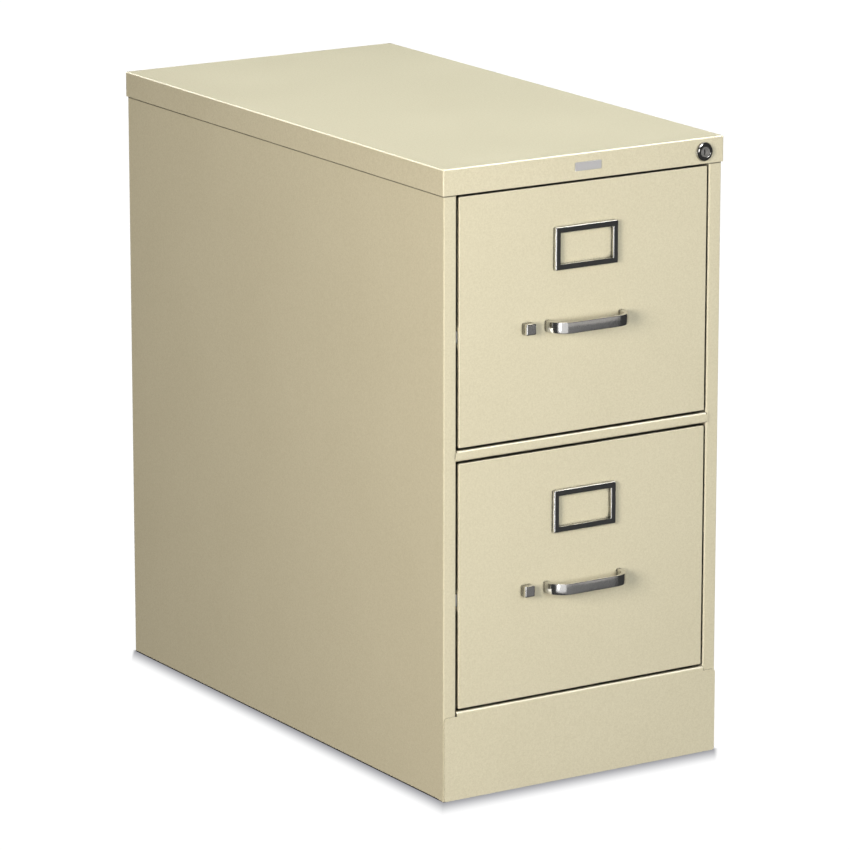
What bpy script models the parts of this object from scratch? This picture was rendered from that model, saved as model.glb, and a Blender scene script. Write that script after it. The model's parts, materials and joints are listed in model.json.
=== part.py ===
"""Two-drawer vertical steel filing cabinet, letter width, with thumb latches and a gang lock.

Metres, +Z up. The cabinet faces -Y. The origin is on the floor, under the middle of the whole object.
Lengths along the depth are counted from CAP_Y, the front face of the top cap.
"""

import math

import bmesh
import bpy
from mathutils import Matrix, Vector

# Driving dimensions of the case
CASE_WIDTH = 0.3810
CASE_DEPTH = 0.7239
CASE_HEIGHT = 0.7366
SHEET = 0.0009  # case sheet steel
DRAWER_SHEET = 0.0008
GAP = 0.0003  # between pieces that touch
CAP_OVERHANG = 0.0018
CAP_FLANGE = 0.0304
POST_FACE = 0.01705  # width of the front posts
POST_RETURN = 0.0160
BASE_HEIGHT = 0.1048
RAIL_HEIGHT = 0.0122
REVEAL = 0.0022  # gap round each drawer front
BEND = 0.0012  # outer radius of a sheet's folds

# Drawers, counted from the middle of the drawer's front face
PAN_DEPTH = 0.0220
TRAY_HALF = 0.1610
TRAY_LENGTH = 0.6650
TRAY_FLOOR_UP = 0.0140  # above the bottom edge of the drawer front
TRAY_WALL = 0.2440
TRAY_LIP = 0.0060
HARDWARE_DROP = 0.0165  # handle and latch, below the middle of the front
LABEL_RISE = 0.0711

# Handle, label holder and thumb latch
HANDLE_LENGTH = 0.1078
HANDLE_REACH = 0.0267
HANDLE_HEIGHT = 0.0130
HANDLE_BEND = 0.0193
HANDLE_STRAP = 0.0032
HANDLE_FOOT = 0.0068
LABEL_SIZE = (0.0855, 0.0055, 0.0500)
LABEL_BAND = 0.0070
BUTTON_SIZE = (0.0134, 0.0102, 0.0132)
BUTTON_X = -0.0780
LATCH_TRAVEL = 0.0080
LATCH_STEM = (0.0040, 0.0060)
LATCH_BAR_HEIGHT = 0.0140
LATCH_BAR_DEPTH = 0.0040  # its front face, behind the drawer's front face

# Telescoping ball slides
SLIDE_LENGTH = 0.6600
SLIDE_START = 0.0235  # behind the drawer's front face
SLIDE_THICKNESS = 0.0127
SLIDE_RISE = 0.0750  # middle of the slide above the tray's floor
SLIDE_STEEL = 0.0012
CAGE_STEEL = 0.0008
CAGE_START = 0.1550
CAGE_LENGTH = 0.3500

# Lock
LOCK_X = 0.1626
LOCK_Z = 0.7204
LOCK_BEZEL = 0.01125
LOCK_BARREL = 0.0076
LOCK_BORE = 0.0064
LOCK_PLUG = 0.00625
LOCK_CRANK = 0.0135  # cam pin to the plug's axis
LOCK_PIN = 0.0015
LOCK_TURN = math.radians(90)
BAR_DEPTH = 0.0198  # front face of the lock bar
BAR_STEEL = 0.0015

# Follower block
FOLLOWER_Y = 0.5600
FOLLOWER_HALF = 0.1500
FOLLOWER_HEIGHT = 0.1650
FOLLOWER_FOOT = 0.0600
CLAMP_Y = 0.0200  # pivot behind the follower plate
CLAMP_Z = 0.0110  # pivot above the tray's floor
CLAMP_HALF = 0.0100
SLOT_HALF = 0.0040

# Worked out from those
HANDLE_PROUD = HANDLE_REACH - CAP_OVERHANG + 0.0005
CAP_Y = HANDLE_PROUD - (CASE_DEPTH + HANDLE_PROUD) / 2
POST_Y = CAP_Y + CAP_OVERHANG
FACE_Y = POST_Y - 0.0005
REAR_Y = CAP_Y + CASE_DEPTH - CAP_OVERHANG
BODY_HALF = CASE_WIDTH / 2 - CAP_OVERHANG
OPENING_HALF = BODY_HALF - POST_FACE
CAP_BOTTOM = CASE_HEIGHT - CAP_FLANGE
FRONT_HALF = OPENING_HALF - REVEAL
FRONT_HEIGHT = (CAP_BOTTOM - BASE_HEIGHT - RAIL_HEIGHT - 4 * REVEAL) / 2
RAIL_Z = BASE_HEIGHT + FRONT_HEIGHT + 2 * REVEAL
DRAWERS = {
    "upper": CAP_BOTTOM - REVEAL - FRONT_HEIGHT / 2,
    "lower": BASE_HEIGHT + REVEAL + FRONT_HEIGHT / 2,
}
SIDES = {"left": -1, "right": 1}
TRAY_FLOOR = TRAY_FLOOR_UP - FRONT_HEIGHT / 2
UPRIGHT_FACE = TRAY_HALF + SLIDE_THICKNESS + 2 * GAP
WALL_INSIDE = BODY_HALF - SHEET


def clear_scene():
    for obj in list(bpy.data.objects):
        bpy.data.objects.remove(obj, do_unlink=True)


def new_collection(name):
    collection = bpy.data.collections.new(name)
    bpy.context.scene.collection.children.link(collection)
    return collection


def make_material(name, colour, roughness, metallic):
    material = bpy.data.materials.new(name)
    material.use_nodes = True
    shader = material.node_tree.nodes["Principled BSDF"]
    shader.inputs["Base Color"].default_value = (*colour, 1)
    shader.inputs["Roughness"].default_value = roughness
    shader.inputs["Metallic"].default_value = metallic
    return material


clear_scene()
CABINET = new_collection("filing_cabinet")
CUTTERS = new_collection("cutters")
PAINT = make_material("putty_paint", (0.70, 0.66, 0.49), 0.42, 0.0)
CHROME = make_material("chrome", (0.62, 0.61, 0.58), 0.12, 1.0)
ZINC = make_material("zinc_steel", (0.60, 0.61, 0.62), 0.35, 1.0)
NICKEL = make_material("nickel", (0.50, 0.49, 0.46), 0.25, 1.0)


def add_object(name, mesh, material, origin=None, collection=CABINET):
    """Links a mesh as an object, parented to the empty that stands on its joint, if it has one."""
    obj = bpy.data.objects.new(name, mesh)
    collection.objects.link(obj)
    if material:
        mesh.materials.append(material)
    obj.parent = origin
    return obj


def add_origin(name, location):
    empty = bpy.data.objects.new(name, None)
    empty.location = location
    empty.empty_display_size = 0.02
    CABINET.objects.link(empty)
    return empty


def mesh_from(name, bm):
    mesh = bpy.data.meshes.new(name)
    bm.normal_update()
    bm.to_mesh(mesh)
    bm.free()
    return mesh


def round_bends(obj, radius, segments=2):
    bevel = obj.modifiers.new("bends", "BEVEL")
    bevel.width = radius
    bevel.segments = segments
    bevel.limit_method = "ANGLE"
    bevel.angle_limit = math.radians(40)


def thicken(obj, thickness):
    """The surface is the outside of the sheet: the steel lies behind it."""
    solidify = obj.modifiers.new("sheet", "SOLIDIFY")
    solidify.thickness = thickness
    solidify.offset = -1
    solidify.use_even_offset = True


def folded_sheet(name, outline, folds, thickness, material, origin=None, bend=BEND):
    """A flat blank, whose outline runs anticlockwise seen from outside, with flanges folded from its edges.

    folds maps an edge's number to the steps that its flange takes, one after the other.
    """
    bm = bmesh.new()
    corners = [bm.verts.new(point) for point in outline]
    bm.faces.new(corners)
    for number, steps in folds.items():
        first, second = corners[number], corners[(number + 1) % len(corners)]
        for step in steps:
            ahead = [bm.verts.new(corner.co + Vector(step)) for corner in (first, second)]
            bm.faces.new((second, first, *ahead))
            first, second = ahead
    obj = add_object(name, mesh_from(name, bm), material, origin)
    round_bends(obj, bend)
    thicken(obj, thickness)
    return obj


def bent_strip(name, profile, step, thickness, material, origin=None, bend=BEND):
    """A profile of 3D points drawn along one step. Its outside faces the way of profile x step."""
    bm = bmesh.new()
    near = [bm.verts.new(point) for point in profile]
    far = [bm.verts.new(Vector(point) + Vector(step)) for point in profile]
    for i in range(len(profile) - 1):
        bm.faces.new((near[i], near[i + 1], far[i + 1], far[i]))
    obj = add_object(name, mesh_from(name, bm), material, origin)
    round_bends(obj, bend)
    thicken(obj, thickness)
    return obj


def box_mesh(low, high):
    bm = bmesh.new()
    bmesh.ops.create_cube(bm, size=1)
    size = Vector(abs(b - a) for a, b in zip(low, high))
    middle = (Vector(high) + Vector(low)) / 2
    bmesh.ops.transform(bm, matrix=Matrix.Translation(middle) @ Matrix.Diagonal((*size, 1)), verts=bm.verts)
    return bm


def box(name, low, high, material, origin=None, collection=CABINET):
    return add_object(name, mesh_from(name, box_mesh(low, high)), material, origin, collection)


def open_pan(name, low, high, open_towards, thickness, material, origin=None, bend=BEND):
    """A box of sheet with one side left open."""
    bm = box_mesh(low, high)
    lid = max(bm.faces, key=lambda face: face.calc_center_median().dot(Vector(open_towards)))
    bmesh.ops.delete(bm, geom=[lid], context="FACES_ONLY")
    obj = add_object(name, mesh_from(name, bm), material, origin)
    round_bends(obj, bend)
    thicken(obj, thickness)
    return obj


def cylinder(name, centre, radius, y_from, y_to, material, origin=None, collection=CABINET, sides=24):
    """A round bar along Y, at centre = (x, z)."""
    bm = bmesh.new()
    length = y_to - y_from
    bmesh.ops.create_cone(bm, cap_ends=True, segments=sides, radius1=radius, radius2=radius, depth=length)
    place = Matrix.Translation((centre[0], (y_from + y_to) / 2, centre[1]))
    bmesh.ops.transform(bm, matrix=place @ Matrix.Rotation(math.radians(90), 4, "X"), verts=bm.verts)
    return add_object(name, mesh_from(name, bm), material, origin, collection)


def turned(name, profile, centre, material, origin=None, steps=32):
    """A closed profile of (radius, y) turned about the Y axis through centre = (x, z)."""
    bm = bmesh.new()
    points = [bm.verts.new((radius, 0, -y)) for radius, y in profile]
    for pair in zip(points, points[1:] + points[:1]):
        bm.edges.new(pair)
    obj = add_object(name, mesh_from(name, bm), material, origin)
    screw = obj.modifiers.new("turning", "SCREW")
    screw.angle = math.tau
    screw.steps = steps
    screw.render_steps = steps
    screw.use_merge_vertices = True
    screw.merge_threshold = 0.00001
    obj.location = (centre[0], 0, centre[1])
    obj.rotation_euler = (math.radians(90), 0, 0)
    return obj


def flat_plate(name, outlines, y_front, thickness, material, origin=None):
    """Closed outlines of (x, z) filled and extruded along Y. The second and later ones are holes."""
    curve = bpy.data.curves.new(name, "CURVE")
    curve.dimensions = "2D"
    curve.fill_mode = "BOTH"
    curve.extrude = thickness / 2
    for outline in outlines:
        spline = curve.splines.new("POLY")
        spline.points.add(len(outline) - 1)
        for point, (x, z) in zip(spline.points, outline):
            point.co = (x, z, 0, 1)
        spline.use_cyclic_u = True
    guide = bpy.data.objects.new(name, curve)
    CUTTERS.objects.link(guide)
    guide.location = (0, y_front + thickness / 2, 0)
    guide.rotation_euler = (math.radians(90), 0, 0)
    bpy.context.view_layer.update()
    mesh = bpy.data.meshes.new_from_object(guide.evaluated_get(bpy.context.evaluated_depsgraph_get()))
    mesh.transform(guide.matrix_world)
    bpy.data.objects.remove(guide)
    bm = bmesh.new()
    bm.from_mesh(mesh)
    bmesh.ops.remove_doubles(bm, verts=bm.verts, dist=0.00001)
    bmesh.ops.recalc_face_normals(bm, faces=bm.faces)
    bm.to_mesh(mesh)
    bm.free()
    mesh.materials.clear()
    return add_object(name, mesh, material, origin)


def apply_boolean(obj, tool, operation):
    """tool is a cutter, or a solid to join, in the same place as obj's own frame."""
    tool.hide_render = True
    tool.display_type = "WIRE"
    boolean = obj.modifiers.new(tool.name, "BOOLEAN")
    boolean.operation = operation
    boolean.solver = "EXACT"
    boolean.object = tool


def cut_box(obj, name, low, high):
    tool = box(name, low, high, None, obj.parent, CUTTERS)
    apply_boolean(obj, tool, "DIFFERENCE")


def join_box(obj, name, low, high):
    tool = box(name, low, high, None, obj.parent, CUTTERS)
    apply_boolean(obj, tool, "UNION")


def cut_round(obj, name, centre, radius, y_from, y_to, sides=24):
    tool = cylinder(name, centre, radius, y_from, y_to, None, obj.parent, CUTTERS, sides)
    apply_boolean(obj, tool, "DIFFERENCE")


def arc(centre, radius, start, end, steps):
    """Points on an arc, angles in degrees."""
    found = []
    for i in range(steps + 1):
        angle = math.radians(start + (end - start) * i / steps)
        found.append((centre[0] + radius * math.cos(angle), centre[1] + radius * math.sin(angle)))
    return found


# The case


def make_side_panel(side):
    """Wall, front post with its return, rear flange and bottom flange, all one sheet."""
    sign = SIDES[side]
    top = CASE_HEIGHT - SHEET - GAP
    x = sign * BODY_HALF
    foot_front = POST_Y + 0.024
    foot_rear = REAR_Y - 0.004
    outline = [
        (x, POST_Y, 0),
        (x, foot_front, 0),
        (x, foot_rear, 0),
        (x, REAR_Y, 0),
        (x, REAR_Y, top),
        (x, POST_Y, top),
    ]
    foot, rear = [(-sign * 0.018, 0, 0)], [(-sign * 0.014, 0, 0)]
    post = [(-sign * POST_FACE, 0, 0), (0, POST_RETURN, 0)]
    folds = {1: foot, 3: rear, 5: post}
    if sign < 0:
        outline.reverse()
        folds = {1: rear, 3: foot, 5: post}
    return folded_sheet(f"{side}_side_panel", outline, folds, SHEET, PAINT)


def cut_strike_slots(panel):
    """Slots in the left post's return for the latch bolts."""
    for name, middle in DRAWERS.items():
        strike = middle - HARDWARE_DROP
        cut_box(
            panel,
            f"{name}_strike_slot",
            (-OPENING_HALF - 0.003, POST_Y + 0.0025, strike - 0.011),
            (-OPENING_HALF + 0.003, POST_Y + 0.0080, strike + 0.011),
        )


def cut_lock_relief(panel):
    """Notch in the top of the right post's return, round the lock's nut."""
    cut_box(
        panel,
        "lock_relief",
        (OPENING_HALF - 0.003, POST_Y + SHEET + 0.0006, CAP_BOTTOM + 0.0010),
        (OPENING_HALF + 0.004, POST_Y + POST_RETURN + 0.003, CASE_HEIGHT + 0.010),
    )


def make_top_cap():
    cap = open_pan(
        "top_cap",
        (-CASE_WIDTH / 2, CAP_Y, CAP_BOTTOM),
        (CASE_WIDTH / 2, CAP_Y + CASE_DEPTH, CASE_HEIGHT),
        (0, 0, -1),
        SHEET,
        PAINT,
        bend=0.0020,
    )
    cut_round(cap, "cap_lock_hole", (LOCK_X, LOCK_Z), LOCK_BARREL + GAP, CAP_Y - 0.01, CAP_Y + 0.01)
    return cap


def make_back_panel():
    half = WALL_INSIDE - GAP
    y = REAR_Y - SHEET - GAP
    low, high = SHEET + GAP, CASE_HEIGHT - SHEET - GAP
    outline = [(half, y, low), (-half, y, low), (-half, y, high), (half, y, high)]
    flange = [(0, -0.012, 0)]
    return folded_sheet("back_panel", outline, {1: flange, 3: flange}, SHEET, PAINT)


def make_front_rail(name, low, high, lap, flange, y_front):
    """A channel across the opening. lap is how far its face reaches over the posts."""
    inner = OPENING_HALF - GAP
    outer = OPENING_HALF + lap
    outline = [
        (-outer, y_front, low),
        (-inner, y_front, low),
        (inner, y_front, low),
        (outer, y_front, low),
        (outer, y_front, high),
        (inner, y_front, high),
        (-inner, y_front, high),
        (-outer, y_front, high),
    ]
    steps = [(0, flange, 0)]
    return folded_sheet(name, outline, {1: steps, 5: steps}, SHEET, PAINT)


def make_top_rail():
    low, high = CAP_BOTTOM + GAP, CASE_HEIGHT - 0.0026
    inner = OPENING_HALF - GAP
    outline = [(-inner, POST_Y, low), (inner, POST_Y, low), (inner, POST_Y, high), (-inner, POST_Y, high)]
    steps = [(0, 0.013, 0)]
    rail = folded_sheet("top_rail", outline, {0: steps, 2: steps}, SHEET, PAINT)
    cut_round(rail, "rail_lock_hole", (LOCK_X, LOCK_Z), LOCK_BARREL + GAP, POST_Y - 0.01, POST_Y + 0.01)
    return rail


def make_base_front():
    """Kick panel: its face lies over the feet of the posts, and rises between them."""
    y = POST_Y - GAP - SHEET
    wide = BODY_HALF - 0.0004
    inner = OPENING_HALF - GAP
    shoulder = BASE_HEIGHT - 0.0053
    outline = [
        (-wide, y, 0),
        (-inner, y, 0),
        (inner, y, 0),
        (wide, y, 0),
        (wide, y, shoulder),
        (inner, y, shoulder),
        (inner, y, BASE_HEIGHT),
        (-inner, y, BASE_HEIGHT),
        (-inner, y, shoulder),
        (-wide, y, shoulder),
    ]
    folds = {1: [(0, 0.020, 0)], 6: [(0, 0.026, 0)]}
    return folded_sheet("base_front_panel", outline, folds, SHEET, PAINT)


def make_base_rear():
    y = REAR_Y - 2 * SHEET - 2 * GAP
    half = 0.1700
    profile = [(-half, y - 0.025, 0), (-half, y, 0), (-half, y, 0.060), (-half, y - 0.015, 0.060)]
    return bent_strip("base_rear_channel", profile, (2 * half, 0, 0), SHEET, PAINT)


def make_upright(side, place, y_from):
    """Hat-section channel that carries the slides."""
    sign = SIDES[side]
    face = sign * UPRIGHT_FACE
    wing = sign * (WALL_INSIDE - GAP - SHEET)
    y_to = y_from + 0.040
    low, high = 0.020, 0.700
    brim = 0.012
    profile = [(wing, y_to + brim), (wing, y_to), (face, y_to)]
    profile += [(face, y_from), (wing, y_from), (wing, y_from - brim)]
    if sign < 0:
        profile.reverse()
    return bent_strip(
        f"{side}_{place}_upright", [(x, y, low) for x, y in profile], (0, 0, high - low), SHEET, ZINC
    )


def make_badge():
    """Blank name plate on the cap's front."""
    badge = box(
        "name_plate",
        (0.0028 - 0.0178, CAP_Y - GAP - 0.0008, 0.7214 - 0.0050),
        (0.0028 + 0.0178, CAP_Y - GAP, 0.7214 + 0.0050),
        ZINC,
    )
    round_bends(badge, 0.0002, 1)
    return badge


def make_case():
    cut_strike_slots(make_side_panel("left"))
    cut_lock_relief(make_side_panel("right"))
    for side in SIDES:
        make_upright(side, "front", CAP_Y + 0.045)
        make_upright(side, "rear", CAP_Y + 0.600)
    make_top_cap()
    make_back_panel()
    make_front_rail("middle_rail", RAIL_Z, RAIL_Z + RAIL_HEIGHT, 0.0020, 0.024, POST_Y - GAP - SHEET)
    make_top_rail()
    make_base_front()
    make_base_rear()
    make_badge()


# The lock


def make_lock_barrel():
    """Round bezel on the cap and the barrel behind it, bored for the plug."""
    front = CAP_Y - 0.0042
    seat = CAP_Y - GAP
    rear = CAP_Y + 0.0180
    profile = [
        (LOCK_BORE, front + 0.0004),
        (0.0082, front),
        (0.0098, front + 0.0007),
        (LOCK_BEZEL - 0.0003, front + 0.0022),
        (LOCK_BEZEL, seat),
        (LOCK_BARREL, seat),
        (LOCK_BARREL, rear),
        (LOCK_BORE, rear),
    ]
    return turned("lock_barrel", profile, (LOCK_X, LOCK_Z), CHROME)


def make_lock_plug(origin):
    plug = cylinder("lock_plug", (0, 0), LOCK_PLUG, -0.0044, 0.0217, NICKEL, origin, sides=32)
    cut_box(plug, "keyway", (-0.0008, -0.010, -0.0042), (0.0008, 0.0120, 0.0034))
    return plug


def make_lock_cam(origin):
    """Arm behind the plug with a pin that lifts the lock bar."""
    arm = 0.0034
    down = Matrix.Rotation(math.radians(-45), 2)
    ends = arc((LOCK_CRANK, 0), arm, -90, 90, 8) + arc((0, 0), 0.0060, 90, 270, 8)
    outline = [tuple(down @ Vector(point)) for point in ends]
    cam = flat_plate("lock_cam", [outline], 0.0220, 0.0020, ZINC, origin)
    pin_at = down @ Vector((LOCK_CRANK, 0))
    pin = cylinder("cam_pin", pin_at, LOCK_PIN, 0.0190, 0.0230, None, origin, CUTTERS, 12)
    apply_boolean(cam, pin, "UNION")
    return cam


def make_lock_nut():
    across, y_from, y_to = 0.0112, POST_Y + SHEET + 0.0008, POST_Y + 0.0044
    nut = cylinder("lock_nut", (LOCK_X, LOCK_Z), across, y_from, y_to, ZINC, sides=6)
    cut_round(nut, "nut_bore", (LOCK_X, LOCK_Z), LOCK_BARREL + GAP, POST_Y - 0.01, POST_Y + 0.02)
    return nut


def make_lock_bar(origin):
    """Flat vertical bar with a slotted head at the cam and one hook at each drawer."""
    edge_in, edge_out = 0.1742, 0.1842
    hook_in = FRONT_HALF + 0.0005
    head_in = LOCK_X + LOCK_PLUG + 0.0004
    bottom = 0.1500
    pin_z = LOCK_Z - LOCK_CRANK * math.sin(LOCK_TURN / 2)
    head_low, head_high = pin_z - 0.0060, pin_z + 0.0042
    outline = [(edge_in, bottom), (edge_out, bottom), (edge_out, head_high)]
    outline += [(head_in, head_high), (head_in, head_low), (edge_in, head_low)]
    for middle in sorted(DRAWERS.values(), reverse=True):
        hook = middle + 0.0500
        outline += [(edge_in, hook + 0.006), (hook_in, hook + 0.006)]
        outline += [(hook_in, hook - 0.004), (edge_in, hook - 0.006)]
    slot_half = LOCK_PIN + 0.0006
    slot_from = LOCK_X + LOCK_CRANK * math.cos(LOCK_TURN / 2) - LOCK_PIN - 0.0004
    slot_to = LOCK_X + LOCK_CRANK + LOCK_PIN + 0.0006
    slot = [
        (slot_from, pin_z - slot_half),
        (slot_to, pin_z - slot_half),
        (slot_to, pin_z + slot_half),
        (slot_from, pin_z + slot_half),
    ]
    bar = flat_plate("lock_bar", [outline, slot], CAP_Y + BAR_DEPTH, BAR_STEEL, ZINC)
    bar.parent = origin
    bar.matrix_parent_inverse = Matrix.Translation(-Vector(origin.location))
    return bar


def make_lock_bar_guide():
    """Angle on the side wall that keeps the bar's edge and back."""
    wall = WALL_INSIDE - GAP - SHEET
    behind = CAP_Y + BAR_DEPTH + BAR_STEEL + GAP + SHEET
    lip = 0.1729
    low = 0.3500
    profile = [(wall, behind + 0.010, low), (wall, behind, low)]
    profile += [(lip, behind, low), (lip, behind - 0.0024, low)]
    return bent_strip("lock_bar_guide", profile, (0, 0, 0.016), SHEET, ZINC)


def make_lock():
    make_lock_barrel()
    make_lock_nut()
    turn = add_origin("lock_turn_axis", (LOCK_X, CAP_Y, LOCK_Z))
    make_lock_plug(turn)
    make_lock_cam(turn)
    make_lock_bar(add_origin("lock_bar_origin", (0, CAP_Y, LOCK_Z)))
    make_lock_bar_guide()


# The slides


def channel(name, side, web, tips, half_height, steel, y_from, length, material, origin):
    """A C section along Y. web and tips are how far its back and flange ends lie from the middle."""
    sign = SIDES[side]
    middle = TRAY_FLOOR + SLIDE_RISE
    profile = [(tips, half_height), (web, half_height), (web, -half_height), (tips, -half_height)]
    if sign * (web - tips) < 0:
        profile.reverse()
    points = [(sign * x, y_from, middle + z) for x, z in profile]
    return bent_strip(name, points, (0, length, 0), steel, material, origin, bend=steel + 0.0003)


def make_slides(name, origins):
    """Five pieces a side: the cabinet rail, two ball cages, the middle rail and the drawer rail."""
    web = UPRIGHT_FACE - GAP
    start = SLIDE_START
    cage = start + CAGE_START
    inner = TRAY_HALF + GAP
    for side in SIDES:
        prefix = f"{name}_{side}"
        fixed, drawer = origins["fixed"], origins["drawer"]
        rail = (SLIDE_STEEL, start, SLIDE_LENGTH, ZINC)
        ring = (CAGE_STEEL, cage, CAGE_LENGTH, ZINC)
        outer, middle, near = origins["outer_cages"], origins["middle_rails"], origins["inner_cages"]
        channel(f"{prefix}_cabinet_rail", side, web, web - 0.0119, 0.0228, *rail, fixed)
        channel(f"{prefix}_outer_cage", side, web - 0.0016, web - 0.0115, 0.0199, *ring, outer)
        channel(f"{prefix}_middle_rail", side, web - 0.0028, web - 0.0123, 0.0174, *rail, middle)
        channel(f"{prefix}_inner_cage", side, web - 0.0044, web - 0.0100, 0.0149, *ring, near)
        channel(f"{prefix}_drawer_rail", side, inner, inner + 0.0071, 0.0128, *rail, drawer)


# A drawer, in a frame at the middle of its front face


def make_drawer_front(name, origin):
    half, tall = FRONT_HALF, FRONT_HEIGHT / 2
    pan = open_pan(
        f"{name}_drawer_front", (-half, 0, -tall), (half, PAN_DEPTH, tall), (0, 1, 0), SHEET, PAINT, origin
    )
    z = -HARDWARE_DROP
    slot_from = BUTTON_X - BUTTON_SIZE[0] / 2 + 0.0004
    slot_to = slot_from + LATCH_STEM[0] + LATCH_TRAVEL + 0.0008
    slot_half = LATCH_STEM[1] / 2 + 0.0004
    cut_box(pan, f"{name}_button_slot", (slot_from, -0.005, z - slot_half), (slot_to, 0.005, z + slot_half))
    bolt_half = LATCH_BAR_HEIGHT / 2 + 0.0006
    cut_box(
        pan,
        f"{name}_bolt_slot",
        (-half - 0.003, LATCH_BAR_DEPTH - 0.0006, z - bolt_half),
        (-half + 0.003, LATCH_BAR_DEPTH + BAR_STEEL + 0.0006, z + bolt_half),
    )
    return pan


def make_drawer_liner(name, origin):
    """Inner panel that closes the back of the drawer front."""
    half = FRONT_HALF - SHEET - GAP
    tall = FRONT_HEIGHT / 2 - SHEET - GAP
    notch = 0.010
    y = PAN_DEPTH
    outline = [
        (half, y, -tall),
        (half - notch, y, -tall),
        (notch - half, y, -tall),
        (-half, y, -tall),
        (-half, y, notch - tall),
        (-half, y, tall - notch),
        (-half, y, tall),
        (notch - half, y, tall),
        (half - notch, y, tall),
        (half, y, tall),
        (half, y, tall - notch),
        (half, y, notch - tall),
    ]
    flange = [(0, -0.008, 0)]
    folds = {1: flange, 4: flange, 7: flange, 10: flange}
    return folded_sheet(f"{name}_drawer_liner", outline, folds, SHEET, PAINT, origin)


def make_tray(name, origin):
    """Floor and both walls in one sheet, with lips turned out along the top to carry hanging folders."""
    floor, top = TRAY_FLOOR, TRAY_FLOOR + TRAY_WALL
    start = PAN_DEPTH + GAP
    reach = TRAY_HALF + TRAY_LIP
    profile = [
        (reach, top),
        (TRAY_HALF, top),
        (TRAY_HALF, floor),
        (-TRAY_HALF, floor),
        (-TRAY_HALF, top),
        (-reach, top),
    ]
    points = [(x, start, z) for x, z in profile]
    tray = bent_strip(f"{name}_drawer_tray", points, (0, TRAY_LENGTH, 0), DRAWER_SHEET, PAINT, origin)
    cut_box(
        tray,
        f"{name}_follower_slot",
        (-SLOT_HALF, start + 0.060, floor - 0.005),
        (SLOT_HALF, FOLLOWER_Y + 0.075, floor + 0.005),
    )
    return tray


def make_drawer_back(name, origin):
    half = TRAY_HALF - DRAWER_SHEET - GAP
    low = TRAY_FLOOR + DRAWER_SHEET + GAP
    high = low + 0.150
    y = PAN_DEPTH + GAP + TRAY_LENGTH - 0.003
    corner = 0.012
    outline = [
        (half, y, low),
        (-half, y, low),
        (-half, y, high - corner),
        (corner - half, y, high),
        (half - corner, y, high),
        (half, y, high - corner),
    ]
    flange = [(0, -0.012, 0)]
    folds = {1: flange, 3: [(0, -0.010, 0)], 5: flange}
    return folded_sheet(f"{name}_drawer_back", outline, folds, DRAWER_SHEET, PAINT, origin)


def handle_outline():
    """Plan of the pull, (x, y), y negative towards the user: straight feet, round corners."""
    half, reach, bend = HANDLE_LENGTH / 2, HANDLE_REACH, HANDLE_BEND
    inner = bend - HANDLE_STRAP
    corner = (half - bend, bend - reach)
    foot = half - HANDLE_FOOT
    outside = [(half, -GAP)] + arc(corner, bend, 0, -90, 8)
    inside = arc((foot - inner, inner + HANDLE_STRAP - reach), inner, -90, 0, 8) + [(foot, -GAP)]
    mirrored = [(-x, y) for x, y in reversed(outside)]
    inside_mirrored = [(-x, y) for x, y in reversed(inside)]
    return outside + mirrored + inside_mirrored + inside


def make_handle(name, origin):
    """The plan outline is laid on the floor plane and extruded up by the strap's height."""
    bm = bmesh.new()
    low = -HARDWARE_DROP - HANDLE_HEIGHT / 2
    corners = [bm.verts.new((x, y, low)) for x, y in handle_outline()]
    face = bm.faces.new(corners)
    made = bmesh.ops.extrude_face_region(bm, geom=[face])["geom"]
    moved = [part for part in made if isinstance(part, bmesh.types.BMVert)]
    bmesh.ops.translate(bm, verts=moved, vec=(0, 0, HANDLE_HEIGHT))
    bmesh.ops.recalc_face_normals(bm, faces=bm.faces)
    return add_object(f"{name}_handle", mesh_from(f"{name}_handle", bm), CHROME, origin)


def make_label_holder(name, origin):
    wide, deep, tall = LABEL_SIZE
    outlines = []
    for inset in (0, LABEL_BAND):
        x, z = wide / 2 - inset, tall / 2 - inset
        low, high = LABEL_RISE - z, LABEL_RISE + z
        outlines.append([(-x, low), (x, low), (x, high), (-x, high)])
    return flat_plate(f"{name}_label_holder", outlines, -deep - GAP, deep, CHROME, origin)


def make_latch_button(name, origin):
    """Thumb button with the stem that goes through the drawer front to the latch bar."""
    wide, deep, tall = BUTTON_SIZE
    low, high = (-wide / 2, -deep - GAP, -tall / 2), (wide / 2, -GAP, tall / 2)
    button = box(f"{name}_latch_button", low, high, CHROME, origin)
    round_bends(button, 0.0012)
    stem_from = -wide / 2 + 0.0008
    join_box(
        button,
        f"{name}_button_stem",
        (stem_from, -0.004, -LATCH_STEM[1] / 2),
        (stem_from + LATCH_STEM[0], LATCH_BAR_DEPTH - GAP, LATCH_STEM[1] / 2),
    )
    return button


def make_latch_bar(name, origin):
    """Flat bar behind the drawer front. Its left end is the bolt, cut back on the slant at the rear."""
    half = LATCH_BAR_HEIGHT / 2
    bolt = -(OPENING_HALF - 0.00045) - BUTTON_X
    bar = box(
        f"{name}_latch_bar",
        (bolt, LATCH_BAR_DEPTH, -half),
        (0.0120, LATCH_BAR_DEPTH + BAR_STEEL, half),
        ZINC,
        origin,
    )
    round_bends(bar, 0.0003, 1)
    return bar


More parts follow.
